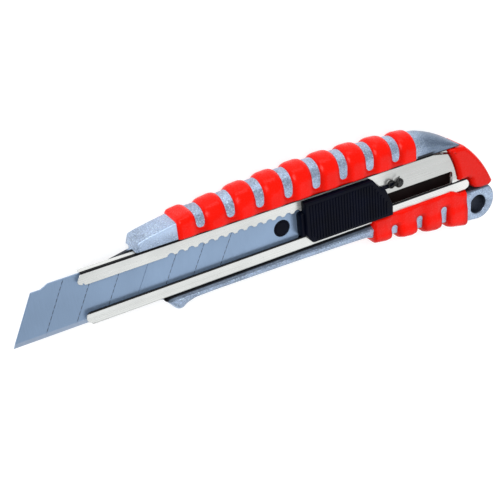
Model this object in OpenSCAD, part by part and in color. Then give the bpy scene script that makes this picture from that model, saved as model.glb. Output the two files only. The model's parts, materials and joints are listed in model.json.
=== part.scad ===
// Snap-off utility knife: cast frame, steel blade channel, scored blade,
// sliding blade carriage with a lock, rubber grips and a pull-off end cap.
// Before place() shifts the parts, X runs from the mouth to the rear,
// Y runs from the cutting edge to the spine and Z = 0 is the blade's face.

/* [Blade] */
// Width of the blade
blade_w = 18; // [17.5:0.1:18.2]
// Thickness of the blade
blade_t = 0.5; // [0.4:0.05:0.6]
// Length of the blade along its spine and tip together
blade_len = 110; // [106:1:112]
// Distance from one score line to the next
segment_pitch = 10; // [9:0.5:10]
// Angle between a score line and the cutting edge
score_angle = 62; // [58:1:64]
// Diameter of the hole in the blade's tail
blade_hole_d = 6.3; // [5.5:0.1:6.5]
// Distance from the front corner to the hole
blade_hole_x = 86.8; // [86:0.1:88]

/* [Channel] */
// Thickness of the folded steel sheet
sheet = 0.5; // [0.4:0.05:0.6]
// Height of the lips' outer faces above the blade's face
lip_face = 1.4; // [1.2:0.05:1.4]
// Depth of the channel's back below the blade's face
channel_back = 1.8; // [1.8:0.05:1.9]
// Width of the lower lip
lower_lip = 4.2; // [3.8:0.1:4.3]
// Height of the upper lip's lower edge above the cutting edge
upper_lip_y = 14.1; // [14:0.05:14.3]
// Distance between two lock notches
notch_pitch = 3.65; // [3.65:0.01:3.66]
// Number of lock notches along the upper lip
notch_count = 22; // [20:1:22]

/* [Frame] */
// Height of the spine's cast face above the blade's face
frame_front = 2.0; // [1.8:0.1:2.1]
// Depth of the spine's cast back below the blade's face
frame_back = 8.9; // [8.7:0.1:9]
// Width of the bevel along the spine's edges
spine_edge = 3.2; // [2.6:0.1:3.6]
// Radius of the lanyard hole
lanyard_r = 3.6; // [3:0.1:4]

/* [Grips] */
// Height of the rubber ribs above the casting
rib_h = 1.1; // [0.9:0.1:1.2]
// Number of ribs on the upper grip
upper_ribs = 9; // [9]
// Distance between two ribs of the upper grip
upper_rib_pitch = 10.98; // [10.9:0.01:11]
// Number of ribs on the lower grip
lower_ribs = 4; // [4]
// Distance between two ribs of the lower grip
lower_rib_pitch = 11.35; // [11.3:0.05:11.4]
// Width of the gap between two ribs
rib_gap = 2.3; // [2:0.1:2.5]

/* [Carriage] */
// Height of the button's ribbed face above the blade's face
button_top = 4.8; // [4.4:0.1:5]
// Number of fine ribs on the button
button_ribs = 26; // [20:1:28]

/* [Hidden] */

$fn = 64;
score_run = blade_w / tan(score_angle);       // how far a score line leans along X
tail_start = 7 * segment_pitch;
blade_rear = blade_len - score_run;
origin_x = 85.01;                             // middle of the whole knife in X
origin_y = 8.08;                              // middle of the whole knife in Y
rest_z = frame_back + rib_h;                  // the ribs' backs rest on Z = 0

channel_low = -0.62;
channel_high = blade_w + 0.75;
floor_z = sheet - channel_back;               // inner face of the channel's back
mouth_x = 14.2;
window_step_x = 124.5;
narrow_lip_y = 9.2;
window_end_x = 159.3;
notch_r = 1.28;
notch_y = upper_lip_y - 0.38;
notch_x0 = 45.1;
rest_notch = 15;

spine_c = [104.9, -315.8];                    // centre of the long spine arc
spine_r = 345.7;
rear_c = [132.4, -20.4];                      // centre of the rear arc
rear_r = 49.8;
spine_low = channel_high + 0.2;
rail_high = channel_low - 0.3;
cap_c = [130, 0];                             // centre of the cap's inner arc
cap_inner_r = 32.5;
lug_c = [172.3, -7.5];
lug_r = 7.3;
bore_c = [171.8, -8.4];
grip_front_x = 48.3;
grip_rear_x = 142.4;
upper_gap_x = 56.6;
lower_gap_x = 132.3;
lower_front_x = 121.4;
lower_rear_x = 165.6;
lap_y = 1.2;                                  // how far the lower grip laps over the lip
rivet_xs = [34, 96, 146];
rivet_y = 4.2;
rivet_r = 1.2;
slide_gap = 0.12;                             // running clearance of the carriage
post_c = [134.8, 12.2];

module place() {
    translate([-origin_x, -origin_y, rest_z]) children();
}

// A box given by two opposite corners.
module block(a, b) {
    translate(a) cube(b - a);
}

// A flat outline in X and Y raised between two heights.
module slab(z0, z1) {
    translate([0, 0, z0]) linear_extrude(z1 - z0) children();
}

// A disc about a vertical axis whose two rims are bevelled.
module bevel_disc(c, r, z0, z1, edge) {
    translate([c[0], c[1], 0]) {
        translate([0, 0, z0]) cylinder(h = edge, r1 = r - edge, r2 = r, $fn = 360);
        translate([0, 0, z0 + edge]) cylinder(h = z1 - z0 - 2 * edge, r = r, $fn = 360);
        translate([0, 0, z1 - edge]) cylinder(h = edge, r1 = r, r2 = r - edge, $fn = 360);
    }
}

// Both arcs of the knife's back, grown outwards by g on every side. The
// rear arc only cuts behind its own centre.
module back_form(g) {
    intersection() {
        bevel_disc(spine_c, spine_r + g, -frame_back - g, frame_front + g, spine_edge + g);
        union() {
            bevel_disc(rear_c, rear_r + g, -frame_back - g, frame_front + g, spine_edge + g);
            block([-20, -20, -20], [rear_c[0], 60, 20]);
        }
    }
}

// ---- Cast frame ------------------------------------------------------------

module spine_bar() {
    intersection() {
        back_form(0);
        slab(-frame_back, frame_front)
            polygon([[33.2, spine_low], [164.5, spine_low], [164.5, 40], [34.6, 40], [32.6, 21.4]]);
    }
}

module lower_outline(g) {
    polygon([[40.6 - g, rail_high], [44.6 - g, -7.3 - g], [46.6, -7.7 - g], [48.4, -6.4 - g],
             [52, -5.0 - g], [90, -5.7 - g], [122, -6.9 - g], [133, -8.6 - g], [144.5, -10.4 - g],
             [156, -12.0 - g], [167, -14.0 - g], [170, -14.4 - g], [170, rail_high]]);
}

// The rail's rear end is stepped down to leave room for the cap's foot.
module lower_rail() {
    difference() {
        slab(-frame_back, frame_front) lower_outline(0);
        translate([30, rail_high, frame_front - 1.4]) rotate([45, 0, 0]) cube([142, 3, 3]);
        block([167.5, -1.6, -15], [185, 2, 10]);
    }
}

module lug() {
    intersection() {
        slab(-frame_back + 0.5, 1.6) union() {
            translate(lug_c) circle(lug_r);
            polygon([[158, rail_high - 0.9], [172, rail_high - 0.9], [172, -14.6], [166, -14.0],
                     [158, -12.4]]);
        }
        block([150, -16, -10], [182, -1.6, 3]);
    }
}

// The back plate ends short of the cap's inner arc.
module back_plate() {
    slab(-6, -channel_back - 0.1) intersection() {
        polygon([[16, 3.5], [16, 17], [34, spine_low + 0.5], [160, spine_low + 0.5],
                 [163, rail_high - 1], [40.6, rail_high - 1], [34, 0.5]]);
        union() {
            translate([0, -20]) square([cap_c[0], 60]);
            translate(cap_c) circle(cap_inner_r - 0.3);
        }
    }
}

module frame() {
    color("silver") place() difference() {
        union() {
            spine_bar();
            lower_rail();
            lug();
            back_plate();
        }
        translate([bore_c[0], bore_c[1], -20]) cylinder(h = 40, r = lanyard_r);
        block([148, 9.9, -5.1], [175, 14.1, -2.9]);
        for (x = rivet_xs) translate([x, rivet_y, -20]) cylinder(h = 40, r = rivet_r + 0.05);
    }
}

// ---- Rubber grips ----------------------------------------------------------

module rib_slot(x, y, up) {
    translate([x, y, -15]) cylinder(h = 25, r = rib_gap / 2);
    far = y + up * 20;
    block([x - rib_gap / 2, min(y, far), -15], [x + rib_gap / 2, max(y, far), 10]);
}

module upper_grip() {
    color("orangered") place() difference() {
        intersection() {
            back_form(rib_h);
            block([grip_front_x, spine_low + 0.15, -15], [grip_rear_x, 40, 10]);
        }
        back_form(0);
        for (i = [0 : upper_ribs - 2]) rib_slot(upper_gap_x + i * upper_rib_pitch, 22.6, 1);
    }
}

module lower_grip() {
    color("orangered") place() difference() {
        union() {
            intersection() {
                slab(-frame_back - rib_h, frame_front + rib_h) lower_outline(rib_h);
                block([lower_front_x, -20, -15], [lower_rear_x, rail_high, 10]);
            }
            block([lower_front_x, rail_high - 1, lip_face + 0.1],
                  [lower_rear_x - 4, lap_y, frame_front + rib_h]);
        }
        lower_rail();
        lug();
        back_plate();
        for (i = [0 : lower_ribs - 2]) rib_slot(lower_gap_x + i * lower_rib_pitch, -5.9, -1);
    }
}

// ---- End cap and its catch -------------------------------------------------

module end_cap() {
    color("red") place() union() {
        difference() {
            intersection() {
                back_form(0.9);
                block([150, -1.3, -15], [185, spine_low - 0.2, 10]);
            }
            translate([cap_c[0], cap_c[1], -15]) cylinder(h = 30, r = cap_inner_r);
            block([150, -5, -15], [167.9, 4.6, 10]);
        }
        block([151, 10, -5], [166, 14, -3]);
    }
}

module cap_catch() {
    color("silver") place() slab(-channel_back, 0.9)
        polygon([[151.4, 18.6], [157.6, 17.0], [156.4, 18.6]]);
}

// ---- Blade channel ---------------------------------------------------------

module channel_outline() {
    difference() {
        polygon([[mouth_x + 0.9, channel_low], [mouth_x, channel_low + 1.6], [mouth_x - 0.8, 15.2],
                 [mouth_x + 0.8, channel_high], [150.6, channel_high], [157.1, 16.7],
                 [161.8, 4.2], [166.4, 3.6], [167.4, 1.6], [166.4, channel_low]]);
        difference() {
            translate([150, 4.4]) square([20, 20]);
            translate(cap_c) circle(cap_inner_r - 0.6);
        }
    }
}

module window_outline() {
    translate([0, lower_lip]) square([window_step_x, upper_lip_y - lower_lip]);
    translate([window_step_x - 1, lower_lip]) square([window_end_x - window_step_x + 1,
                                                     narrow_lip_y - lower_lip]);
    for (i = [0 : notch_count - 1]) translate([notch_x0 + i * notch_pitch, notch_y]) circle(notch_r);
}

module blade_channel() {
    color("gainsboro") place() difference() {
        slab(-channel_back, lip_face) channel_outline();
        block([0, channel_low + sheet, floor_z], [160.5, channel_high - sheet, lip_face - sheet]);
        slab(-1, lip_face + 1) window_outline();
        for (x = rivet_xs) translate([x, rivet_y, -20]) cylinder(h = 40, r = rivet_r + 0.05);
    }
}

module channel_rivets() {
    color("gray") place() for (x = rivet_xs)
        translate([x, rivet_y, -6]) cylinder(h = 6 + floor_z, r = rivet_r);
}

// ---- Blade -----------------------------------------------------------------

// The part of the blade between two score lines, as an outline.
module blade_strip(x0, x1, inset) {
    polygon([[x0 - score_run + inset, 0], [x1 - score_run - inset, 0], [x1 - inset, blade_w],
             [x0 + inset, blade_w]]);
}

// Both sides of the edge are ground to a bevel.
module edge_grind() {
    for (side = [0, 1]) mirror([0, 0, side]) translate([-20, 0, 0.02]) rotate([9, 0, 0])
        translate([0, -3, 0]) cube([140, 6, 2]);
}

module blade_piece(x0, x1) {
    translate([0, 0, -blade_t]) difference() {
        union() {
            slab(0, blade_t - 0.12) blade_strip(x0, x1, 0);
            slab(blade_t - 0.12, blade_t) blade_strip(x0, x1, 0.12);
        }
        translate([0, 0, blade_t / 2]) edge_grind();
    }
}

module blade_segment(i) {
    color("lightsteelblue") place() difference() {
        blade_piece((i - 1) * segment_pitch, i * segment_pitch);
        if (i == 1) slab(-1, 1) polygon([[-5, 30], [-5, blade_w - 1.25], [2.6, blade_w - 1.25],
                                         [5.1, blade_w], [5.1, 30]]);
    }
}

module blade_tail() {
    color("lightsteelblue") place() difference() {
        blade_piece(tail_start, blade_rear);
        translate([blade_hole_x, 9.3, -5]) cylinder(h = 10, r = blade_hole_d / 2);
    }
}

// ---- Carriage --------------------------------------------------------------

module blade_carrier() {
    color("black") place() {
        block([80.5, 1.2, floor_z + slide_gap], [126, 16.8, -blade_t - 0.05]);
        block([blade_rear + 0.4, 4.9, floor_z + slide_gap], [126, 8.6, lip_face + slide_gap]);
    }
}

module carrier_stud() {
    color("black") place() translate([blade_hole_x, 9.3, -blade_t - 0.05])
        cylinder(h = blade_t + 0.45, r = blade_hole_d / 2 - 0.1);
}

module button_outline() {
    polygon([[94, 4.9], [95.6, 2.2], [130.3, 1.7], [130.3, 6.2], [127.6, 12.6], [124.6, 13.9],
             [122.2, 18], [94, 18]]);
}

module slider_button() {
    color("black") place() {
        difference() {
            slab(lip_face + slide_gap, button_top) button_outline();
            for (i = [0 : button_ribs - 1])
                block([96 + i * 1.2, 3.4, button_top - 0.35], [96.6 + i * 1.2, 16.6, button_top + 1]);
            block([97, 9.6, 0], [120.5, 16.2, 3.4]);
        }
        block([92.5, 4.9, 0.15], [94.2, 13.4, 3.2]);
        block([126, 11.4, lip_face + 0.15], [post_c[0] - 1.4, 13.0, lip_face + 0.5]);
    }
}

module lock_pawl() {
    color("gray") place() translate([notch_x0 + rest_notch * notch_pitch, notch_y + 0.1, lip_face - sheet])
        cylinder(h = 2.2, r = 1.0);
}

module lock_leaf() {
    color("gray") place() {
        block([notch_x0 + rest_notch * notch_pitch + 1.1, 12.9, 1.7], [118, 13.3, 3.1]);
        block([118, 11.4, 1.7], [118.4, 14.8, 3.1]);
    }
}

module spring_post() {
    color("dimgray") place() translate([post_c[0], post_c[1], lip_face + 0.15]) {
        cylinder(h = 0.6, r = 1.3);
        translate([0, 0, 0.6]) cylinder(h = 0.5, r = 1.7);
    }
}

module return_spring() {
    color("gainsboro") place() {
        for (i = [0 : 2]) translate([131.1, 12.2, lip_face + 0.75 + i * 0.45])
            rotate_extrude() translate([1.3, 0]) circle(0.2, $fn = 24);
        block([130.9, 13.3, lip_face + 0.6], [131.3, 13.7, lip_face + 1.9]);
    }
}

frame();
upper_grip();
lower_grip();
end_cap();
cap_catch();
blade_channel();
channel_rivets();
blade_carrier();
carrier_stud();
slider_button();
lock_pawl();
lock_leaf();
spring_post();
return_spring();
blade_tail();
for (i = [1 : 7]) blade_segment(i);
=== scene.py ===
"""Snap-off utility knife: the looks of every piece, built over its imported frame."""

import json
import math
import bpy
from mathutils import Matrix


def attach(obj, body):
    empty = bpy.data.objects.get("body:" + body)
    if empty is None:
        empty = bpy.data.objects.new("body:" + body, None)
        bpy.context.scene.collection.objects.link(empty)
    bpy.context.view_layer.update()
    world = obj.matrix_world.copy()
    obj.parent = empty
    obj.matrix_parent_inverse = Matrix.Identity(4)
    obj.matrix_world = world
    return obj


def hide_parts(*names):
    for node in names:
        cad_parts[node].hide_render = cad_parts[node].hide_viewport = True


bl_info = {
    "name": "Snap-off utility knife",
    "version": (1, 0, 0),
    "blender": (4, 5, 0),
    "location": "3D View > Sidebar > Knife",
    "description": "Builds the casting, grips, channel, blade and slider of a utility knife",
    "category": "Add Mesh",
}

import bpy
from bpy.props import FloatProperty, FloatVectorProperty, IntProperty, PointerProperty
from mathutils import Matrix, Vector

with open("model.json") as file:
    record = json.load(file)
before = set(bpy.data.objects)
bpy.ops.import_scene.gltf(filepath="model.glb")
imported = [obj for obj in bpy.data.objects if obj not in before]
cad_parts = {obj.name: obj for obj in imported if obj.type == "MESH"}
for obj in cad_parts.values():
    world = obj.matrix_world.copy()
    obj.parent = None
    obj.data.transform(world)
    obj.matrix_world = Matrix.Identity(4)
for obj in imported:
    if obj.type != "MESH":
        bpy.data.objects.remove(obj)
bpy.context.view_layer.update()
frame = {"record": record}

MM = 0.001
# Knife coordinates in millimetres: X to the rear, Y to the spine, Z out of the blade's face.
LANYARD_CENTRE = (171.8, -8.4)
LANYARD = Vector((*LANYARD_CENTRE, 1.6))
LANYARD_RADIUS = 3.6
MOUNTS = {m["name"]: m for m in frame["record"]["mounts"]}
SHIFT = Vector(MOUNTS["lanyard_hole"]["pos_m"]) - LANYARD * MM

# Arcs are given as the centre's x and y and the radius.
SPINE_ARC = (104.9, -315.8, 345.7)
REAR_ARC = (132.4, -20.4, 49.8)
# Heights of the spine's foot and the rail's top, then levels of the casting's face and back, of the
# rubber's underside and of the lips.
SPINE_LOW = 18.95
RAIL_HIGH = -1.15
FACE = 2.0
BACK = -8.9
REST_FACE = -9.9
LIP_FACE = 1.4
# Heights of the channel's two folds.
CHANNEL_LOW = -0.62
CHANNEL_HIGH = 18.75
CAP_CENTRE = (130.0, 0.0)
CAP_RADIUS = 32.5
COIL_CENTRE = (131.1, 12.9)
COIL_RADIUS = 1.35
POST_CENTRE = (134.8, 12.2)
STUD_CENTRE = (86.8, 9.3)
BLADE_WIDTH = 18.0
SCORE_PITCH = 10.0
SCORE_ANGLE = 62
FAINT_MARK = 4
NOTCH_START = 45.1
NOTCH_PITCH = 3.65

# The camera: azimuth, height and roll in degrees, lens and sensor in millimetres.
CAMERA_PLACE = Vector((-45.75, 156.32, 247.63))
CAMERA_ANGLES = (25.82, 28.79, -6.4)
LENS = 66.83
SENSOR = 36.0

# Painted shade: black painted where a gap lies, and a darker tone painted over the rear of the spine.
PAINTED_SHADE_BLACK = (0.004, 0.004, 0.006, 1.0)
REAR_SPINE_SHADE = (0.05, 0.085, 0.14, 1.0)


# ---- Sizes and colours -------------------------------------------------------

def length(name, description, default, **limits):
    """A size in millimetres."""
    return FloatProperty(name=name, description=description, default=default, **limits)


def shade_of(name, description, default):
    """A base colour."""
    return FloatVectorProperty(name=name, description=description, subtype="COLOR", default=default)


class KnifeSizes(bpy.types.PropertyGroup):
    """Sizes in millimetres, and the number of the slider's ribs"""

    rib_height: length("Rib height", "Height of a rubber rib", 1.05, min=0.6, max=1.1)
    rib_pitch: length("Rib pitch", "Distance between two upper ribs", 10.98)
    rib_gap: length("Rib gap", "Width of the gap between two ribs", 2.3)
    first_gap: length("First gap", "Place of the first upper gap", 56.6)
    lower_pitch: length("Lower rib pitch", "Distance between two lower ribs", 11.35)
    lower_gap: length("First lower gap", "Place of the first lower gap", 132.3)
    edge: length("Sheet edge", "Rounding of the steel's cut edges", 0.1, min=0.02, max=0.2)
    button_ribs: IntProperty(name="Button ribs", description="Number of fine ribs on the slider",
                             default=28, min=8, max=40)


class KnifeColours(bpy.types.PropertyGroup):
    """Base colours of the finishes"""

    casting: shade_of("Casting", "Blasted casting", (0.36, 0.45, 0.60))
    steel: shade_of("Steel", "Folded channel", (0.66, 0.67, 0.65))
    blade: shade_of("Blade", "Blade steel", (0.25, 0.35, 0.50))
    rubber: shade_of("Rubber", "Grips", (0.9, 0.006, 0.0004))
    cap: shade_of("Cap", "End cap", (0.8, 0.006, 0.0004))
    black: shade_of("Black plastic", "Slider", (0.0008, 0.0016, 0.007))


# ---- Shader helpers ----------------------------------------------------------

class Value:
    """A number socket that can be used in arithmetic."""

    def __init__(self, board, socket):
        self.board = board
        self.socket = socket

    def maths(self, operation, a, b=0.0):
        return self.board.node("ShaderNodeMath", {"operation": operation}, {0: a, 1: b}).value(0)

    def __add__(self, other):
        return self.maths("ADD", self, other)

    def __sub__(self, other):
        return self.maths("SUBTRACT", self, other)

    def __mul__(self, other):
        return self.maths("MULTIPLY", self, other)

    def __rsub__(self, other):
        return self.maths("SUBTRACT", other, self)

    __radd__ = __add__
    __rmul__ = __mul__


class Made:
    """A node that has been added to a board."""

    def __init__(self, board, node):
        self.board = board
        self.node = node

    def value(self, key):
        return Value(self.board, self.node.outputs[key])

    def socket(self, key):
        return self.node.outputs[key]


class Board:
    """One material and the nodes that make its finish."""

    def __init__(self, name):
        self.material = bpy.data.materials.new(name)
        self.material.use_nodes = True
        self.tree = self.material.node_tree
        self.shader = self.tree.nodes["Principled BSDF"]

    def node(self, kind, settings=None, inputs=None):
        made = self.tree.nodes.new(kind)
        for key, setting in (settings or {}).items():
            if key == "stops":
                self.set_stops(made.color_ramp, setting)
            else:
                setattr(made, key, setting)
        for key, given in (inputs or {}).items():
            self.feed(made.inputs[key], given)
        return Made(self, made)

    def set_stops(self, ramp, stops):
        while len(ramp.elements) < len(stops):
            ramp.elements.new(0.5)
        for element, (place, colour) in zip(ramp.elements, stops):
            element.position = place
            element.color = colour if len(colour) == 4 else (*colour, 1.0)

    def feed(self, socket, given):
        if isinstance(given, Value):
            self.tree.links.new(given.socket, socket)
        elif isinstance(given, bpy.types.NodeSocket):
            self.tree.links.new(given, socket)
        else:
            socket.default_value = given

    def set(self, **constants):
        for key, given in constants.items():
            self.shader.inputs[key.replace("_", " ")].default_value = given

    def place(self):
        return self.node("ShaderNodeTexCoord").socket("Object")

    def stretched(self, scale):
        inputs = {"Vector": self.place(), "Scale": scale}
        return self.node("ShaderNodeMapping", {}, inputs).socket("Vector")

    def noise(self, scale, detail=3.0, vector=None, rough=0.55):
        inputs = {"Vector": vector or self.place(), "Scale": scale, "Detail": detail, "Roughness": rough}
        return self.node("ShaderNodeTexNoise", {}, inputs).value("Fac")

    def cells(self, scale):
        return self.node("ShaderNodeTexVoronoi", {}, {"Vector": self.place(), "Scale": scale})

    def ramp(self, value, stops):
        return self.node("ShaderNodeValToRGB", {"stops": stops}, {"Fac": value}).socket("Color")

    def step(self, value, low, high, a=0.0, b=1.0):
        inputs = {"Value": value, "From Min": low, "From Max": high, "To Min": a, "To Max": b}
        settings = {"interpolation_type": "SMOOTHSTEP"}
        return self.node("ShaderNodeMapRange", settings, inputs).value("Result")

    def blend(self, factor, a, b):
        inputs = {"Factor": factor, 6: a, 7: b}
        return self.node("ShaderNodeMix", {"data_type": "RGBA"}, inputs).node.outputs[2]

    def axis(self, name):
        return self.node("ShaderNodeSeparateXYZ", {}, {"Vector": self.place()}).value(name)

    def bump(self, height, distance, strength=0.5):
        inputs = {"Height": height, "Distance": distance, "Strength": strength}
        made = self.node("ShaderNodeBump", {}, inputs)
        self.feed(self.shader.inputs["Normal"], made.socket("Normal"))

    def colour(self, given):
        self.feed(self.shader.inputs["Base Color"], given)

    def rough(self, given):
        self.feed(self.shader.inputs["Roughness"], given)


def tone(colour, factor):
    """The same colour, lighter or darker."""
    return tuple(min(1.0, c * factor) for c in colour) + (1.0,)


def along_x(x):
    """Where a distance along the knife lies, in metres."""
    return x * MM + SHIFT.x


def line(y):
    """Where a height above the cutting edge lies, in metres."""
    return y * MM + SHIFT.y


def level(z):
    """Where a level above the blade's face lies, in metres."""
    return z * MM + SHIFT.z


# ---- Finishes ----------------------------------------------------------------

def casting_finish(colour):
    """Blasted casting: a fine grain with bright grains in it, painted shade in its gaps, bore and rear,
    and a painted highlight on the nose.
    """
    board = Board("blasted_casting")
    grain = board.noise(2300.0, 2.0)
    sparkle = board.step(board.cells(1300.0).value("Distance"), 0.1, 0.34, 1.0, 0.0)
    cloud = board.noise(160.0, 3.0)
    stops = [(0.34, tone(colour, 0.5)), (0.66, tone(colour, 1.35))]
    base = board.ramp(cloud * 0.35 + grain * 0.65, stops)
    base = board.blend(sparkle * 0.6, base, tone(colour, 2.1))
    height = board.axis("Y")
    # Painted shadow: the rail's top facet, in the channel's shadow, is painted darker.
    ledge_shade = board.step(height, line(-2.5), line(-2.25)) - board.step(height, line(-0.5), line(0.5))
    # Painted shade: the casting between the rail's top and the spine's foot, above its back, is painted
    # black for the shade in the gaps beside the channel.
    gap = board.step(height, line(-1.85), line(-1.5)) - board.step(height, line(19.1), line(19.25))
    base = board.blend(ledge_shade * 0.7, base, tone(colour, 0.25))
    shown = board.step(board.axis("Z"), level(-3.2), level(-3.0))
    base = board.blend(gap * shown * 0.94, base, PAINTED_SHADE_BLACK)
    across = board.axis("X")
    # Painted highlight: the nose's top, above its face, is painted lighter.
    nose = board.step(across, along_x(50), along_x(54), 1.0, 0.0)
    facet = board.step(board.axis("Z"), level(1.45), level(1.65))
    ridge = nose * facet * board.step(height, line(19), line(24), 0.0, 0.75)
    base = board.blend(ridge, base, tone(colour, 1.7))
    # Painted shade: the top of the spine's rear is painted darker.
    rear = board.step(across, along_x(142), along_x(150)) * board.step(height, line(18.6), line(19.4))
    base = board.blend(rear * 0.62, base, REAR_SPINE_SHADE)
    # Painted shade: the opening at the casting's rear is painted black.
    opening_shade = board.step(height, line(10), line(11)) - board.step(height, line(19.8), line(20.1))
    opening_shade = opening_shade * shown
    opening_shade = opening_shade * board.step(across, along_x(142.6), along_x(143.2))
    opening_shade = opening_shade * board.step(across, along_x(149), along_x(152), 0.92, 0.0)
    base = board.blend(opening_shade, base, PAINTED_SHADE_BLACK)
    # Painted shade: the lanyard bore's wall is painted dark.
    place = LANYARD * MM + SHIFT
    flat = board.stretched((1.0, 1.0, 0.0))
    radius = board.node("ShaderNodeVectorMath", {"operation": "DISTANCE"},
                        {0: flat, 1: (place.x, place.y, 0.0)}).value("Value")
    bore_shade = board.step(radius, 3.7 * MM, 3.9 * MM, 1.0, 0.0)
    board.colour(board.blend(bore_shade * 0.93, base, (0.01, 0.014, 0.03, 1.0)))
    board.rough(board.step(grain, 0.3, 0.7, 0.3, 0.5))
    board.set(Metallic=0.7)
    board.bump(grain * 0.7 + sparkle * 0.3, 0.0002, 0.6)
    return board.material


def steel_finish(colour):
    """Sheet steel with a fine grain along the knife, with painted shade along its folds, its lower lip's
    edge and its rear.
    """
    board = Board("channel_steel")
    grain = board.noise(1.0, 3.0, board.stretched((18.0, 900.0, 900.0)))
    cloud = board.noise(38.0, 4.0)
    specks = board.step(board.cells(420.0).value("Distance"), 0.05, 0.1, 1.0, 0.0)
    base = board.ramp(cloud * 0.85 + grain * 0.15, [(0.3, tone(colour, 0.86)), (0.7, tone(colour, 1.12))])
    base = board.blend(specks * 0.25, base, tone(colour, 0.3))
    height = board.axis("Y")
    raised = board.step(board.axis("Z"), level(0.55), level(0.75))
    # Painted dark reflection and shade: a black line along the upper fold's bend.
    fold = board.step(height, line(18.0), line(18.15)) * raised
    # Painted shadow: a black band along the lower lip's edge, for the gap's shadow on it.
    slit_shadow = (board.step(height, line(3.6), line(3.7)) - board.step(height, line(4.3), line(4.4))) * raised
    # Painted shade: the channel's rear above the lower lip is painted darker.
    channel_rear_shade = board.step(board.axis("X"), along_x(122), along_x(132), 0.0, 0.55)
    base = board.blend(channel_rear_shade * board.step(height, line(5.0), line(5.5)), base, tone(colour, 0.5))
    # Painted shade: the lower fold is painted black for the shade in the gap above the rail.
    foot = board.step(height, line(-0.5), line(-0.3), 1.0, 0.0)
    board.colour(board.blend(fold + slit_shadow + foot * 0.9, base, PAINTED_SHADE_BLACK))
    board.rough(board.step(grain, 0.3, 0.7, 0.22, 0.34))
    board.set(Metallic=0.6)
    board.bump(grain, 0.00001, 0.12)
    return board.material


def blade_finish(colour):
    """Ground blade steel with a painted highlight on the bevel along its cutting edge."""
    board = Board("ground_blade")
    grain = board.noise(1.0, 4.0, board.stretched((2600.0, 160.0, 2600.0)))
    cloud = board.noise(60.0, 2.0)
    base = board.ramp(cloud * 0.6 + grain * 0.4, [(0.3, tone(colour, 0.92)), (0.7, tone(colour, 1.1))])
    height = board.axis("Y")
    # Painted highlight: the bevel along the cutting edge is painted lighter.
    bevel = board.step(height, line(1.2), line(1.8), 1.0, 0.0)
    base = board.blend(bevel * 0.45, base, (0.55, 0.62, 0.74, 1.0))
    board.colour(base)
    board.rough(board.step(grain, 0.3, 0.7, 0.3, 0.42))
    board.set(Metallic=0.6)
    board.bump(grain, 0.00003, 0.3)
    return board.material


def rubber_finish(colour):
    """Moulded rubber, with painted shade making it deeper beside the gaps than on the crowns of the ribs.
    """
    board = Board("grip_rubber")
    sizes = bpy.context.scene.knife_sizes
    skin = board.noise(1500.0, 3.0)
    cloud = board.noise(90.0, 2.0)
    base = board.ramp(cloud, [(0.3, tone(colour, 0.92)), (0.7, tone(colour, 1.08))])
    upper = board.step(board.axis("Y"), line(6), line(7))

    def beside(gap, pitch):
        offset = board.axis("X") - along_x(gap)
        nearest = offset.maths("PINGPONG", offset, pitch / 2 * MM)
        return board.step(nearest, 0.001, 0.0034, 1.0, 0.0)

    # Painted shade: the ribs' flanks beside each gap are painted darker.
    flank_shade = beside(sizes.first_gap, sizes.rib_pitch) * upper
    below = board.step(board.axis("Y"), line(-3.8), line(-2.8), 1.0, 0.0)
    flank_shade = flank_shade + beside(sizes.lower_gap, sizes.lower_pitch) * below
    board.colour(board.blend(flank_shade * 0.55, base, tone(colour, 0.45)))
    board.rough(board.step(skin, 0.3, 0.7, 0.2, 0.3))
    board.set(Specular_IOR_Level=0.14)
    board.bump(skin, 0.00003, 0.2)
    return board.material


def cap_finish(colour):
    """Smooth moulded plastic."""
    board = Board("cap_plastic")
    skin = board.noise(700.0, 3.0)
    cloud = board.noise(60.0, 2.0)
    board.colour(board.ramp(cloud, [(0.3, tone(colour, 0.92)), (0.7, tone(colour, 1.05))]))
    board.rough(board.step(skin, 0.3, 0.7, 0.22, 0.3))
    board.set(Specular_IOR_Level=0.14)
    board.bump(skin, 0.00002, 0.12)
    return board.material


def black_finish(name, colour, low, high):
    """Fine-grained black moulding."""
    board = Board(name)
    grain = board.noise(2400.0, 2.0)
    cloud = board.noise(150.0, 2.0)
    board.colour(board.ramp(cloud, [(0.3, tone(colour, 0.7)), (0.7, tone(colour, 1.5))]))
    board.rough(board.step(grain, 0.3, 0.7, low, high))
    board.set(Specular_IOR_Level=0.07)
    board.bump(grain, 0.00003, 0.3)
    return board.material


def dark_steel_finish(name, dark, light):
    """Dark steel of the small lock parts and of the blade's score marks."""
    board = Board(name)
    grain = board.noise(1800.0, 3.0)
    board.colour(board.ramp(grain, [(0.3, (dark, dark, dark * 1.1)), (0.7, (light, light, light))]))
    board.rough(board.step(grain, 0.3, 0.7, 0.2, 0.4))
    board.set(Metallic=0.9)
    board.bump(grain, 0.00004, 0.4)
    return board.material


def finish(name):
    """The named finish, made the first time that it is asked for."""
    colours = bpy.context.scene.knife_colours
    names = {"casting": "blasted_casting", "steel": "channel_steel", "blade": "ground_blade",
             "rubber": "grip_rubber", "cap": "cap_plastic", "black": "slider_black",
             "shadow": "inner_black", "lock": "lock_steel", "mark": "score_mark"}
    made = bpy.data.materials.get(names[name])
    if made:
        return made
    makers = {
        "casting": lambda: casting_finish(colours.casting),
        "steel": lambda: steel_finish(colours.steel),
        "blade": lambda: blade_finish(colours.blade),
        "rubber": lambda: rubber_finish(colours.rubber),
        "cap": lambda: cap_finish(colours.cap),
        "black": lambda: black_finish("slider_black", colours.black, 0.3, 0.46),
        "shadow": lambda: black_finish("inner_black", (0.006, 0.003, 0.003), 0.5, 0.7),
        "lock": lambda: dark_steel_finish("lock_steel", 0.008, 0.06),
        "mark": lambda: dark_steel_finish("score_mark", 0.05, 0.16),
    }
    return makers[name]()


# ---- Mesh helpers ------------------------------------------------------------

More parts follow.
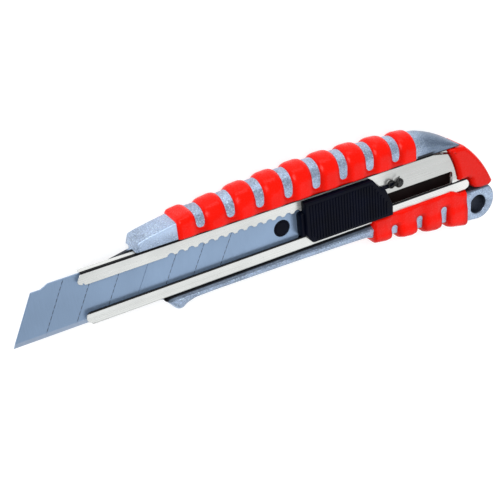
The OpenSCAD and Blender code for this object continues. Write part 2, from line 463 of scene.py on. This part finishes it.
def add_piece(name, mesh, body, material, stands_for=()):
    """Hang a finished mesh on its body."""
    piece = bpy.data.objects.new(name, mesh)
    bpy.context.scene.collection.objects.link(piece)
    mesh.materials.clear()
    mesh.materials.append(finish(material))
    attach(piece, body)
    if stands_for:
        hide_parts(*stands_for)
    return piece


def shade(mesh, angle=35.0):
    """Smooth the round stretches and keep the sharp edges."""
    mesh.shade_smooth()
    mesh.set_sharp_from_angle(angle=math.radians(angle))


def loft(name, rings, angle=50.0):
    """A closed solid through rings of (x, y, z) points in millimetres."""
    count = len(rings[0])
    points = [Vector(p) * MM + SHIFT for ring in rings for p in ring]
    faces = []
    for i in range(len(rings) - 1):
        for j in range(count):
            k = (j + 1) % count
            faces.append((i * count + j, i * count + k, (i + 1) * count + k, (i + 1) * count + j))
    faces.append(tuple(reversed(range(count))))
    last = (len(rings) - 1) * count
    faces.append(tuple(range(last, last + count)))
    mesh = bpy.data.meshes.new(name)
    mesh.from_pydata(points, [], faces)
    mesh.validate()
    if signed_volume(mesh) < 0:
        mesh.flip_normals()
    shade(mesh, angle)
    return mesh


def signed_volume(mesh):
    total = 0.0
    for face in mesh.polygons:
        corners = [mesh.vertices[i].co for i in face.vertices]
        for a, b in zip(corners[1:-1], corners[2:]):
            total += corners[0].cross(a).dot(b)
    return total


def plate(name, loops, low, high, edge, steps=3):
    """Flat outlines raised from low to high, with rounded rims. Inner loops are holes."""
    curve = bpy.data.curves.new(name, "CURVE")
    curve.dimensions = "2D"
    curve.fill_mode = "BOTH"
    curve.extrude = ((high - low) / 2 - edge) * MM
    curve.bevel_depth = edge * MM
    curve.offset = -edge * MM
    curve.bevel_resolution = steps
    for loop in loops:
        spline = curve.splines.new("POLY")
        spline.points.add(len(loop) - 1)
        spline.use_cyclic_u = True
        for point, (x, y) in zip(spline.points, loop):
            point.co = (along_x(x), line(y), 0.0, 1.0)
    holder = bpy.data.objects.new(name, curve)
    bpy.context.scene.collection.objects.link(holder)
    bpy.context.view_layer.update()
    mesh = bpy.data.meshes.new_from_object(holder.evaluated_get(bpy.context.evaluated_depsgraph_get()))
    bpy.data.objects.remove(holder)
    bpy.data.curves.remove(curve)
    mesh.transform(Matrix.Translation((0, 0, level((low + high) / 2))))
    shade(mesh)
    return mesh


def arc(cx, cy, r, start, end, count=12):
    """Points along an arc, in degrees."""
    angles = [math.radians(start + (end - start) * i / count) for i in range(count + 1)]
    return [(cx + r * math.cos(a), cy + r * math.sin(a)) for a in angles]


def rounded(corners, radius, count=5):
    """An outline whose corners are rounded; a radius may be given as a third number."""
    out = []
    for i, corner in enumerate(corners):
        here = Vector(corner[:2])
        before = Vector(corners[i - 1][:2]) - here
        after = Vector(corners[(i + 1) % len(corners)][:2]) - here
        r = corner[2] if len(corner) > 2 else radius
        reach = min(r, before.length * 0.48, after.length * 0.48)
        a = here + before.normalized() * reach
        b = here + after.normalized() * reach
        for j in range(count + 1):
            t = j / count
            out.append(tuple(a * (1 - t) ** 2 + here * 2 * t * (1 - t) + b * t ** 2))
    return out


def along(points, x):
    """The height at x of a line through points."""
    for (x0, y0), (x1, y1) in zip(points, points[1:]):
        if x <= x1:
            return y0 + (y1 - y0) * max(0.0, x - x0) / (x1 - x0)
    return points[-1][1]


def smooth_along(points, x, reach=1.0):
    """The same, averaged over a short stretch so that its corners are round."""
    shares = [-1.0, -0.6, -0.3, 0.0, 0.3, 0.6, 1.0]
    return sum(along(points, x + s * reach) for s in shares) / len(shares)


def ease(t):
    t = max(0.0, min(1.0, t))
    return t * t * (3 - 2 * t)


def swell(distance, width):
    """Height of a rounded shoulder at a distance inside its rim, from 0 to 1."""
    t = 1 - max(0.0, min(1.0, distance / width))
    return math.sqrt(max(0.0, 1 - t * t))


def join_meshes(name, meshes):
    """One mesh from several."""
    points = []
    faces = []
    smooth = []
    for mesh in meshes:
        start = len(points)
        points += [v.co.copy() for v in mesh.vertices]
        faces += [tuple(start + i for i in face.vertices) for face in mesh.polygons]
        smooth += [face.use_smooth for face in mesh.polygons]
    made = bpy.data.meshes.new(name)
    made.from_pydata(points, [], faces)
    shade(made)
    return made


def spans(start, end, step):
    count = max(1, round((end - start) / step))
    return [start + (end - start) * i / count for i in range(count + 1)]


# ---- Casting -----------------------------------------------------------------

def spine_top(x):
    """Height of the spine's outline."""
    cx, cy, r = SPINE_ARC
    front = cy + math.sqrt(r * r - (x - cx) ** 2)
    cx, cy, r = REAR_ARC
    if x <= cx:
        return front
    return min(front, cy + math.sqrt(max(0.0, r * r - (x - cx) ** 2)))


def spine_section(x, shrink=0.0):
    """The spine's section from the face's foot over the top to the back's foot."""
    nose = 1 - ease((x - 45) / 16)
    top = spine_top(x) - 0.25 - shrink
    low = SPINE_LOW + shrink * 0.5
    height = max(0.3, top - low)
    front = FACE - shrink - 0.25 * nose
    back = BACK + shrink + 1.4 * nose
    rise = min(5.3, height * 0.72) * (1 - nose) + height * 0.26 * nose
    power = 2.1 * (1 - nose) + 7.0 * nose
    middle = (front + back) / 2
    half = (front - back) / 2
    foot = top - rise
    points = [(low + (foot - low) * i / 7, front) for i in range(7)]
    for i in range(41):
        a = math.pi * i / 40
        s = abs(math.sin(a)) ** (2 / power)
        c = abs(math.cos(a)) ** (2 / power)
        points.append((foot + rise * s, middle + half * (c if a < math.pi / 2 else -c)))
    points += [(foot - (foot - low) * i / 7, back) for i in range(1, 8)]
    return points


RAIL_BOTTOM = [(40.6, -1.2), (45.0, -7.5), (46.6, -7.7), (48.6, -6.2), (51.5, -5.0), (60, -4.9),
               (90, -5.6), (122, -6.9), (133, -8.4), (144.5, -10.0), (156, -11.7), (166, -13.9),
               (171, -14.6)]


def rail_section(x):
    """The lower rail's section: bevelled top, bright ridge and rounded foot."""
    low = smooth_along(RAIL_BOTTOM, x, 0.7)
    depth = RAIL_HIGH - low
    ridge = RAIL_HIGH - min(1.75, depth * 0.4)
    foot = min(1.6, depth * 0.3) - 0.9 * ease((x - 120) / 4)
    corners = [(RAIL_HIGH, BACK + 0.5, 0.4), (RAIL_HIGH, 0.5, 0.3), (ridge, FACE, 0.35),
               (low + foot, FACE - 0.35, foot * 0.7), (low, FACE - 1.6 - foot, foot),
               (low, BACK + 1.5, foot), (low + foot, BACK, foot * 0.7), (ridge, BACK, 0.5)]
    return rounded(corners, 0.4)


class KNIFE_OT_casting(bpy.types.Operator):
    """Cast frame: spine, back plate, lower rail with its hook, and the lanyard lug"""

    bl_idname = "knife.casting"
    bl_label = "Casting"

    def execute(self, context):
        rings = []
        for x in [33.9, 34.05, 34.3, 34.7] + spans(35.2, 162.2, 0.8):
            shrink = 0.6 * (1 - swell(x - 33.9, 0.8))
            lean = 0.35 * max(0.0, 1 - (x - 33.9) / 3)
            rings.append([(x + lean * (y - 20), y, z) for y, z in spine_section(x, shrink)])
        spine = loft("spine", rings, 40)
        rail = loft("rail", [[(x, y, z) for y, z in rail_section(x)] for x in spans(40.7, 168, 0.35)], 30)
        hole = arc(*LANYARD_CENTRE, LANYARD_RADIUS, 0, -360, 64)[:-1]
        rim = arc(172.3, -7.5, 7.3, -92, 54, 40)
        lug = plate("lug", [rim + [(168.2, -1.7), (162, -1.7), (162, -12.8), (167, -14.2)], hole],
                    BACK + 0.5, 1.6, 0.7, 5)
        start = [(34, 0.6), (34, 19.1), (147, 19.1), (150, 18.4)]
        end = [(161, -2.6), (40.9, -2.6)]
        reach = CAP_RADIUS - 0.7
        whole = start + arc(*CAP_CENTRE, reach, 30, -2.5, 20) + end
        slotted = start + arc(*CAP_CENTRE, reach, 30, 26.5, 4) + [(148, 14.2), (148, 9.8)]
        slotted += arc(*CAP_CENTRE, reach, 17.9, -2.5, 12) + end
        back = [plate("back", [whole], -6.0, -5.2, 0.25), plate("back", [slotted], -5.25, -2.75, 0.02),
                plate("back", [whole], -2.8, -1.92, 0.02)]
        tongue = rounded([(17, 4.2), (16.6, 16.1), (34.4, 19.6), (34.4, 1.0)], 0.8)
        front = plate("front", [tongue], -3.0, -1.92, 0.2)
        ribs = [plate("stiffener", [rounded([(x, 1.2), (x + 1.6, 1.2), (x + 1.6, 17.6), (x, 17.6)], 0.7)],
                      -7.1, -5.7, 0.4) for x in spans(44, 152, 12)]
        mesh = join_meshes("frame_casting", [spine, rail, lug, front] + back + ribs)
        add_piece("frame_casting", mesh, "body", "casting", ["frame"])
        return {"FINISHED"}


# ---- Rubber grips ------------------------------------------------------------

def path_lengths(path):
    """Distance along an open path at each of its points."""
    lengths = [0.0]
    for a, b in zip(path, path[1:]):
        lengths.append(lengths[-1] + math.dist(a, b))
    return lengths


def normals(path, side):
    """Outward normals of a section from the face to the back; side is 1 over the top, -1 beneath."""
    out = []
    for i in range(len(path)):
        a = path[max(0, i - 1)]
        b = path[min(len(path) - 1, i + 1)]
        along_y, along_z = b[0] - a[0], b[1] - a[1]
        size = math.hypot(along_y, along_z) or 1.0
        out.append((-along_z * side / size, along_y * side / size))
    return out


def resample(path, count):
    """The path again with evenly spaced points."""
    lengths = path_lengths(path)
    out = []
    k = 0
    for i in range(count):
        want = lengths[-1] * i / (count - 1)
        while k < len(path) - 2 and lengths[k + 1] < want:
            k += 1
        t = (want - lengths[k]) / max(1e-9, lengths[k + 1] - lengths[k])
        out.append((path[k][0] + (path[k + 1][0] - path[k][0]) * t,
                    path[k][1] + (path[k + 1][1] - path[k][1]) * t))
    return out


def sleeve(name, xs, path_at, height_at, count, side, sink):
    """A rubber sleeve over a section: an outer skin of varying height and a sunken inner one."""
    rings = []
    for x in xs:
        path = resample(path_at(x), count)
        lengths = path_lengths(path)
        outward = normals(path, side)
        outer = []
        for (y, z), (ny, nz), s in zip(path, outward, lengths):
            h = height_at(x, s, lengths[-1], y)
            outer.append((x, y + ny * h, max(REST_FACE, z + nz * h)))
        inner = [(x, y - ny * sink, z - nz * sink) for (y, z), (ny, nz) in zip(path, outward)]
        rings.append(outer + inner[::-1])
    return loft(name, rings, 60)


def gap_distance(x, foot, gap_x, half, end):
    """Distance outside a slot whose round end lies at a distance from the sleeve's foot."""
    across = abs(x - gap_x)
    if foot >= end:
        return across - half
    return math.hypot(across, end - foot) - half


class KNIFE_OT_grips(bpy.types.Operator):
    """Ribbed rubber grips over the spine and over the lower rail"""

    bl_idname = "knife.grips"
    bl_label = "Grips"

    def execute(self, context):
        sizes = context.scene.knife_sizes
        half = sizes.rib_gap / 2
        front, rear = 48.3, 142.4
        gaps = [sizes.first_gap + i * sizes.rib_pitch for i in range(8)]

        def rib_share(x, centres, pitch):
            nearest = min(centres, key=lambda g: abs(x - g))
            return ease((abs(x - nearest) - half * 0.6) / (pitch * 0.32))

        def upper_height(x, s, total, y):
            foot = min(s, total - s)
            rim = min(x - front, rear - x)
            wide = half + 0.35 * ease(foot / 7)
            slot = min(gap_distance(x, foot, g, wide, 3.3) for g in gaps)
            inside = min(slot, rim + 0.02)
            if inside <= 0:
                return -0.5
            crown = 0.4 + (sizes.rib_height - 0.4) * rib_share(x, gaps, sizes.rib_pitch)
            return -0.4 + (crown + 0.4) * swell(inside, 1.5) * (0.75 + 0.25 * swell(foot, 0.9))

        upper = sleeve("upper_grip_rubber", spans(front - 0.1, rear + 0.1, 0.22), spine_section,
                       upper_height, 90, 1, 0.6)
        add_piece("upper_grip_rubber", upper, "body", "rubber", ["upper_grip"])

        lower_front, lower_rear = 122.8, 165.9
        low_gaps = [sizes.lower_gap + i * sizes.lower_pitch for i in range(3)]

        def lower_path(x):
            low = smooth_along(RAIL_BOTTOM, x, 0.7)
            lap = 1.0 - 1.9 * ease((x - 158.5) / 5)
            corners = [(lap, FACE - 0.1), (low + 0.7, FACE - 0.1), (low - 0.2, FACE - 1.2),
                       (low, BACK + 2.0), (low + 1.7, BACK), (RAIL_HIGH, BACK)]
            path = rounded(corners, 1.5, 6)
            return [corners[0]] + path[7:-7] + [corners[-1]]

        def lower_height(x, s, total, y):
            edge = min(s, total - s)
            rim = min(x - lower_front, lower_rear - x)
            below = -4.4 - y
            slot = min(gap_distance(x, below, g, half * 0.95, half) for g in low_gaps)
            inside = min(slot, rim + 0.02)
            if inside <= 0:
                return -1.3
            rib = rib_share(x, low_gaps, sizes.lower_pitch)
            drop = ease(below / 4.0) * 0.7
            crown = 0.45 + (sizes.rib_height - 0.45) * rib + drop
            return -1.2 + (crown + 1.2) * swell(inside, 1.1) * (0.55 + 0.45 * swell(edge, 1.2))

        lower = sleeve("lower_grip_rubber", spans(lower_front - 0.1, lower_rear + 0.1, 0.22), lower_path,
                       lower_height, 90, -1, 1.6)
        add_piece("lower_grip_rubber", lower, "body", "rubber", ["lower_grip"])
        return {"FINISHED"}


# ---- End cap -----------------------------------------------------------------

def cap_outline():
    """The cap between the rear arc and the channel's end."""
    cx, cy, r = REAR_ARC
    outer = arc(cx, cy, r + 0.2, 50.2, 25.4, 24)
    inner = arc(*CAP_CENTRE, CAP_RADIUS, 8.3, 33.5, 16)
    corners = outer + arc(175.6, 0.9, 2.3, -8, -90, 6)
    corners += [(172.4, -1.3), (169.6, -0.5), (168.1, 1.4), (167.8, 3.6), (166.2, 4.7)]
    return corners + inner + [(157.9, 18.55)]


class KNIFE_OT_end_cap(bpy.types.Operator):
    """Pull-off end cap with its tongue, and the steel catch beside it"""

    bl_idname = "knife.end_cap"
    bl_label = "End cap"

    def execute(self, context):
        shell = plate("cap_shell", [cap_outline()], BACK - 0.7, FACE + 0.9, 1.7, 8)
        tongue = plate("cap_tongue", [rounded([(151, 10), (166, 10), (166, 14), (151, 14)], 0.8)],
                       -5.0, -3.0, 0.3)
        mesh = join_meshes("end_cap_moulding", [shell, tongue])
        add_piece("end_cap_moulding", mesh, "rear_cap", "cap", ["end_cap"])
        catch = plate("cap_catch_steel", [rounded([(151.4, 18.7), (157.4, 17.1), (156.6, 18.7)], 0.3)],
                      -1.8, 0.9, 0.08)
        add_piece("cap_catch_steel", catch, "body", "steel", ["cap_catch"])
        return {"FINISHED"}


# ---- Channel -----------------------------------------------------------------

def upper_edge():
    """The upper lip's lower edge, from the mouth to the window's rear, with its notches."""
    points = []
    base = 14.1
    for x in spans(16.0, 124.5, 0.12):
        phase = (x - NOTCH_START + NOTCH_PITCH / 2) % NOTCH_PITCH - NOTCH_PITCH / 2
        inside = x > NOTCH_START - 1.5 and abs(phase) < 1.25
        deep = math.sqrt(max(0.0, 1.28 ** 2 - phase ** 2)) - 0.38 if inside else 0.0
        points.append((x, base + max(0.0, deep)))
    return points


class KNIFE_OT_channel(bpy.types.Operator):
    """Folded steel channel: notched upper lip, lower lip, folds, back and rivets"""

    bl_idname = "knife.channel"
    bl_label = "Channel"

    def execute(self, context):
        edge = context.scene.knife_sizes.edge
        rear = arc(*CAP_CENTRE, 31.9, 31.5, 8.6, 14)
        upper_front = rounded([(15.4, 14.1, 1.0), (13.4, 15.3, 1.0), (15.0, 18.1, 0.1)], 0.3)[:-6]
        face_upper = upper_front + [(15.0, 18.1), (150.4, 18.1), (157.0, 16.7)] + rear
        face_upper += [(159.3, 4.4), (159.3, 8.5), (158.6, 9.2), (125.2, 9.2), (124.5, 9.9)]
        face_upper += upper_edge()[::-1]
        lower = rounded([(16.4, -0.1, 1.2), (14.0, 1.2, 1.6), (14.6, 4.2, 1.4), (165.9, 4.2, 1.3),
                         (167.4, 2.2, 1.3), (167.2, 0.6, 1.3), (165.9, -0.1, 0.9)], 0.5)
        bridge = [(159.3, 3.6), (161.4, 3.6), (161.4, 6.5), (159.3, 6.5)]
        sheets = [plate("lip", [loop], LIP_FACE - 0.5, LIP_FACE, edge) for loop in (face_upper, lower)]
        sheets.append(plate("bridge", [bridge], LIP_FACE - 0.45, LIP_FACE - 0.01, 0.05))
        back = rounded([(15.4, 0), (14.6, 3), (14.6, 15), (15.4, 18.1), (150.4, 18.1), (157, 16.7),
                        (161, 8), (161, 0)], 0.6)
        sheets.append(plate("channel_back", [back], -1.8, -1.3, edge))
        for low, sign, start, end in ((CHANNEL_HIGH, 1, 15.1, 150.4), (CHANNEL_LOW, -1, 15.9, 165.8)):
            section = []
            for r in (0.8, 0.3):
                bend = [(low - sign * (0.8 - r * math.sin(a)), 0.6 + r * math.cos(a))
                        for a in [math.pi / 2 * i / 6 for i in range(7)]]
                tail = [(low - sign * (0.8 - r * math.sin(a)), -1.0 + r * math.cos(a))
                        for a in [math.pi / 2 + math.pi / 2 * i / 6 for i in range(7)]]
                section.append(bend + tail)
            ring = section[0] + section[1][::-1]
            sheets.append(loft("fold", [[(x, y, z) for y, z in ring] for x in spans(start, end, 9)], 30))
        mesh = join_meshes("channel_sheet", sheets)
        add_piece("channel_sheet", mesh, "body", "steel", ["blade_channel"])
        # Painted shadow: a black sheet behind the window stands for the shade inside the channel.
        window = rounded([(126.5, 3.0), (160.4, 3.0), (160.4, 10.5), (126.5, 10.5)], 0.3)
        shadow_sheet = plate("window_lining", [window], -1.3, -1.25, 0.02)
        add_piece("window_lining", shadow_sheet, "body", "shadow", [])
        for i, x in enumerate((34, 96, 146)):
            head = [plate("rivet", [arc(x, 4.2, r, 0, 360, 32)[:-1]], z, z + 0.35, 0.12)
                    for r, z in ((2.0, -6.35), (1.2, -6.6))]
            mesh = join_meshes(f"rivet_head_{i + 1}", head)
            add_piece(f"rivet_head_{i + 1}", mesh, "body", "steel", [])
        return {"FINISHED"}


# ---- Blade and carriage ------------------------------------------------------

class KNIFE_OT_blade(bpy.types.Operator):
    """Scored blade: its segments, tail and score lines"""

    bl_idname = "knife.blade"
    bl_label = "Blade"

    def execute(self, context):
        for name in [f"blade_segment_{i}" for i in range(1, 8)] + ["blade_tail"]:
            node = bpy.data.objects[name]
            node.data.materials.clear()
            node.data.materials.append(finish("blade"))
        lean = BLADE_WIDTH / math.tan(math.radians(SCORE_ANGLE))
        for i in range(1, 8):
            top = i * SCORE_PITCH
            marks = []
            for k in range(9):
                t0, t1 = (k + 0.12) / 9, (k + 0.72) / 9
                y0, y1 = 1.8 + t0 * 16, 1.8 + t1 * 16
                x0, x1 = [top - lean * (1 - y / BLADE_WIDTH) for y in (y0, y1)]
                loop = [(x0 - 0.06, y0), (x0 + 0.06, y0), (x1 + 0.06, y1), (x1 - 0.06, y1)]
                marks.append(plate("mark", [loop], -0.11, -0.012, 0.01, 0))
            mesh = join_meshes(f"score_line_{i}", marks)
            material = "blade" if i == FAINT_MARK else "mark"
            add_piece(f"score_line_{i}", mesh, "carriage", material, [])
        return {"FINISHED"}


class KNIFE_OT_carriage(bpy.types.Operator):
    """Black slider with its fine ribs, the carrier and the stud in the blade's hole"""

    bl_idname = "knife.carriage"
    bl_label = "Carriage"

    def execute(self, context):
        count = context.scene.knife_sizes.button_ribs
        outline = rounded([(94, 5.6, 0.8), (96.3, 2.1, 0.8), (130.2, 1.8, 0.5), (130.2, 6.2, 0.6),
                           (127.4, 12.4, 0.3), (126.5, 13.6, 0.2), (125.5, 13.3, 0.2), (122.0, 17.9, 0.5),
                           (94, 17.9, 0.5)], 0.5)
        parts = [plate("button_body", [outline], LIP_FACE + 0.13, 4.35, 0.45, 4)]
        pitch = 32.6 / count
        for i in range(count):
            x = 95.7 + i * pitch
            low = 2.9 if x > 97 else 4.2
            high = min(16.4, 16.4 - max(0.0, x - 121.0) * 1.35)
            rear = x + pitch * 0.56
            rib = rounded([(x, low), (rear, low), (rear, high), (x, high)], 0.2, 2)
            parts.append(plate("button_rib", [rib], 4.1, 4.6, 0.14, 2))
        front = rounded([(92.6, 5.0, 0.6), (94.6, 5.0), (94.6, 13.9), (92.6, 13.3, 0.8)], 0.3)
        parts.append(plate("button_nose", [front], 0.15, 3.3, 0.3, 3))
        tab = rounded([(126, 11.4), (133.4, 11.4), (133.4, 13.0), (126, 13.0)], 0.3)
        parts.append(plate("post_tab", [tab], LIP_FACE + 0.15, LIP_FACE + 0.45, 0.08))
        add_piece("slider_moulding", join_meshes("slider_moulding", parts), "carriage", "black",
                  ["slider_button"])
        stud = [plate("stud", [arc(*STUD_CENTRE, r, 0, 360, 48)[:-1]], -0.55, z, e, 4)
                for r, z, e in ((3.05, -0.1, 0.15), (2.5, 0.08, 0.25))]
        add_piece("stud_moulding", join_meshes("stud_moulding", stud), "carriage", "black",
                  ["carrier_stud"])
        for name, material in (("blade_carrier", "black"), ("lock_pawl", "lock"), ("lock_leaf", "lock")):
            node = bpy.data.objects[name]
            node.data.materials.clear()
            node.data.materials.append(finish(material))
        return {"FINISHED"}


class KNIFE_OT_lock(bpy.types.Operator):
    """Post and wire coil of the lock, just behind the slider"""

    bl_idname = "knife.lock"
    bl_label = "Lock post and coil"

    def execute(self, context):
        low = LIP_FACE + 0.15
        post = [plate("post", [arc(*POST_CENTRE, r, 0, 360, 40)[:-1]], low, low + z, e, 4)
                for r, z, e in ((1.75, 0.75, 0.25), (1.35, 1.15, 0.35))]
        add_piece("post_head", join_meshes("post_head", post), "carriage", "lock", ["spring_post"])
        turns, steps = 2.6, 90
        route = []
        for i in range(steps + 1):
            a = 2 * math.pi * turns * i / steps
            route.append((COIL_CENTRE[0] + COIL_RADIUS * math.cos(a),
                          COIL_CENTRE[1] + COIL_RADIUS * math.sin(a), low + 0.3 + i / steps))
        route += [(133.0, 13.2, 2.9), (133.9, 14.4, 2.8), (134.4, 15.2, 2.5)]
        rings = []
        for i, here in enumerate(route):
            ahead = Vector(route[min(i + 1, len(route) - 1)]) - Vector(route[max(i - 1, 0)])
            side = ahead.cross(Vector((0, 0, 1))).normalized()
            over = side.cross(ahead).normalized()
            rings.append([tuple(Vector(here) + (side * math.cos(a) + over * math.sin(a)) * 0.2)
                          for a in [2 * math.pi * k / 8 for k in range(8)]])
        wire = loft("coil_wire", rings, 60)
        add_piece("coil_wire", wire, "carriage", "lock", ["return_spring"])
        return {"FINISHED"}


# ---- Stage -------------------------------------------------------------------

def area_light(name, place, size, power, target):
    data = bpy.data.lights.new(name, "AREA")
    data.shape = "RECTANGLE"
    data.size, data.size_y = size
    data.energy = power
    lamp = bpy.data.objects.new(name, data)
    lamp.location = place
    lamp.rotation_euler = (Vector(target) - Vector(place)).to_track_quat("-Z", "Y").to_euler()
    bpy.context.scene.collection.objects.link(lamp)


class KNIFE_OT_stage(bpy.types.Operator):
    """Pale floor, soft lights and the camera"""

    bl_idname = "knife.stage"
    bl_label = "Stage"

    def execute(self, context):
        mesh = bpy.data.meshes.new("floor")
        mesh.from_pydata([(-4, -4, 0), (4, -4, 0), (4, 4, 0), (-4, 4, 0)], [], [(0, 1, 2, 3)])
        floor = bpy.data.objects.new("floor", mesh)
        context.scene.collection.objects.link(floor)
        board = Board("pale_floor")
        stops = [(0.2, (0.5, 0.5, 0.5)), (0.8, (0.52, 0.52, 0.52))]
        board.colour(board.ramp(board.noise(3.0, 2.0), stops))
        board.set(Roughness=0.9, Specular_IOR_Level=0.1)
        board.set(Emission_Color=(1.0, 1.0, 1.0, 1.0), Emission_Strength=0.62)
        mesh.materials.append(board.material)
        world = bpy.data.worlds.new("studio")
        context.scene.world = world
        world.use_nodes = True
        background = world.node_tree.nodes["Background"]
        background.inputs["Color"].default_value = (0.93, 0.96, 1.0, 1.0)
        background.inputs["Strength"].default_value = 0.45
        area_light("key", (-0.35, 0.5, 0.7), (0.5, 0.5), 5.5, (0, 0, 0))
        area_light("fill", (0.5, -0.5, 0.6), (0.8, 0.8), 2.0, (0, 0, 0))
        area_light("rim", (0.1, 0.9, 0.25), (0.9, 0.3), 2.0, (0, 0.01, 0))
        context.scene.view_settings.view_transform = "Standard"
        azimuth, height, roll = [math.radians(a) for a in CAMERA_ANGLES]
        toward = Vector((-math.sin(azimuth) * math.cos(height), math.sin(height),
                         math.cos(azimuth) * math.cos(height)))
        right = (-toward).cross(Vector((0, 1, 0))).normalized()
        up = right.cross(-toward)
        right, up = (right * math.cos(roll) + up * math.sin(roll),
                     up * math.cos(roll) - right * math.sin(roll))
        data = bpy.data.cameras.new("camera")
        data.sensor_width = SENSOR
        data.lens = LENS
        data.clip_start = 0.01
        camera = bpy.data.objects.new("camera", data)
        place = CAMERA_PLACE * MM + SHIFT
        turn = Matrix((right, up, toward)).transposed().to_4x4()
        camera.matrix_world = Matrix.Translation(place) @ turn
        context.scene.collection.objects.link(camera)
        context.scene.camera = camera
        return {"FINISHED"}


class KNIFE_PT_pieces(bpy.types.Panel):
    """Lists the knife's pieces"""

    bl_idname = "KNIFE_PT_pieces"
    bl_label = "Utility knife"
    bl_space_type = "VIEW_3D"
    bl_region_type = "UI"
    bl_category = "Knife"

    def draw(self, context):
        for group in (context.scene.knife_sizes, context.scene.knife_colours):
            for name in group.__annotations__:
                self.layout.prop(group, name)
        for operator in OPERATORS:
            self.layout.operator(operator.bl_idname)


OPERATORS = (KNIFE_OT_casting, KNIFE_OT_grips, KNIFE_OT_end_cap, KNIFE_OT_channel, KNIFE_OT_blade,
             KNIFE_OT_carriage, KNIFE_OT_lock, KNIFE_OT_stage)
CLASSES = (KnifeSizes, KnifeColours) + OPERATORS + (KNIFE_PT_pieces,)


def register():
    for cls in CLASSES:
        bpy.utils.register_class(cls)
    bpy.types.Scene.knife_sizes = PointerProperty(type=KnifeSizes)
    bpy.types.Scene.knife_colours = PointerProperty(type=KnifeColours)


def unregister():
    del bpy.types.Scene.knife_colours
    del bpy.types.Scene.knife_sizes
    for cls in reversed(CLASSES):
        bpy.utils.unregister_class(cls)


def main():
    register()
    for operator in OPERATORS:
        group, name = operator.bl_idname.split(".")
        getattr(getattr(bpy.ops, group), name)()


if __name__ == "__main__":
    main()
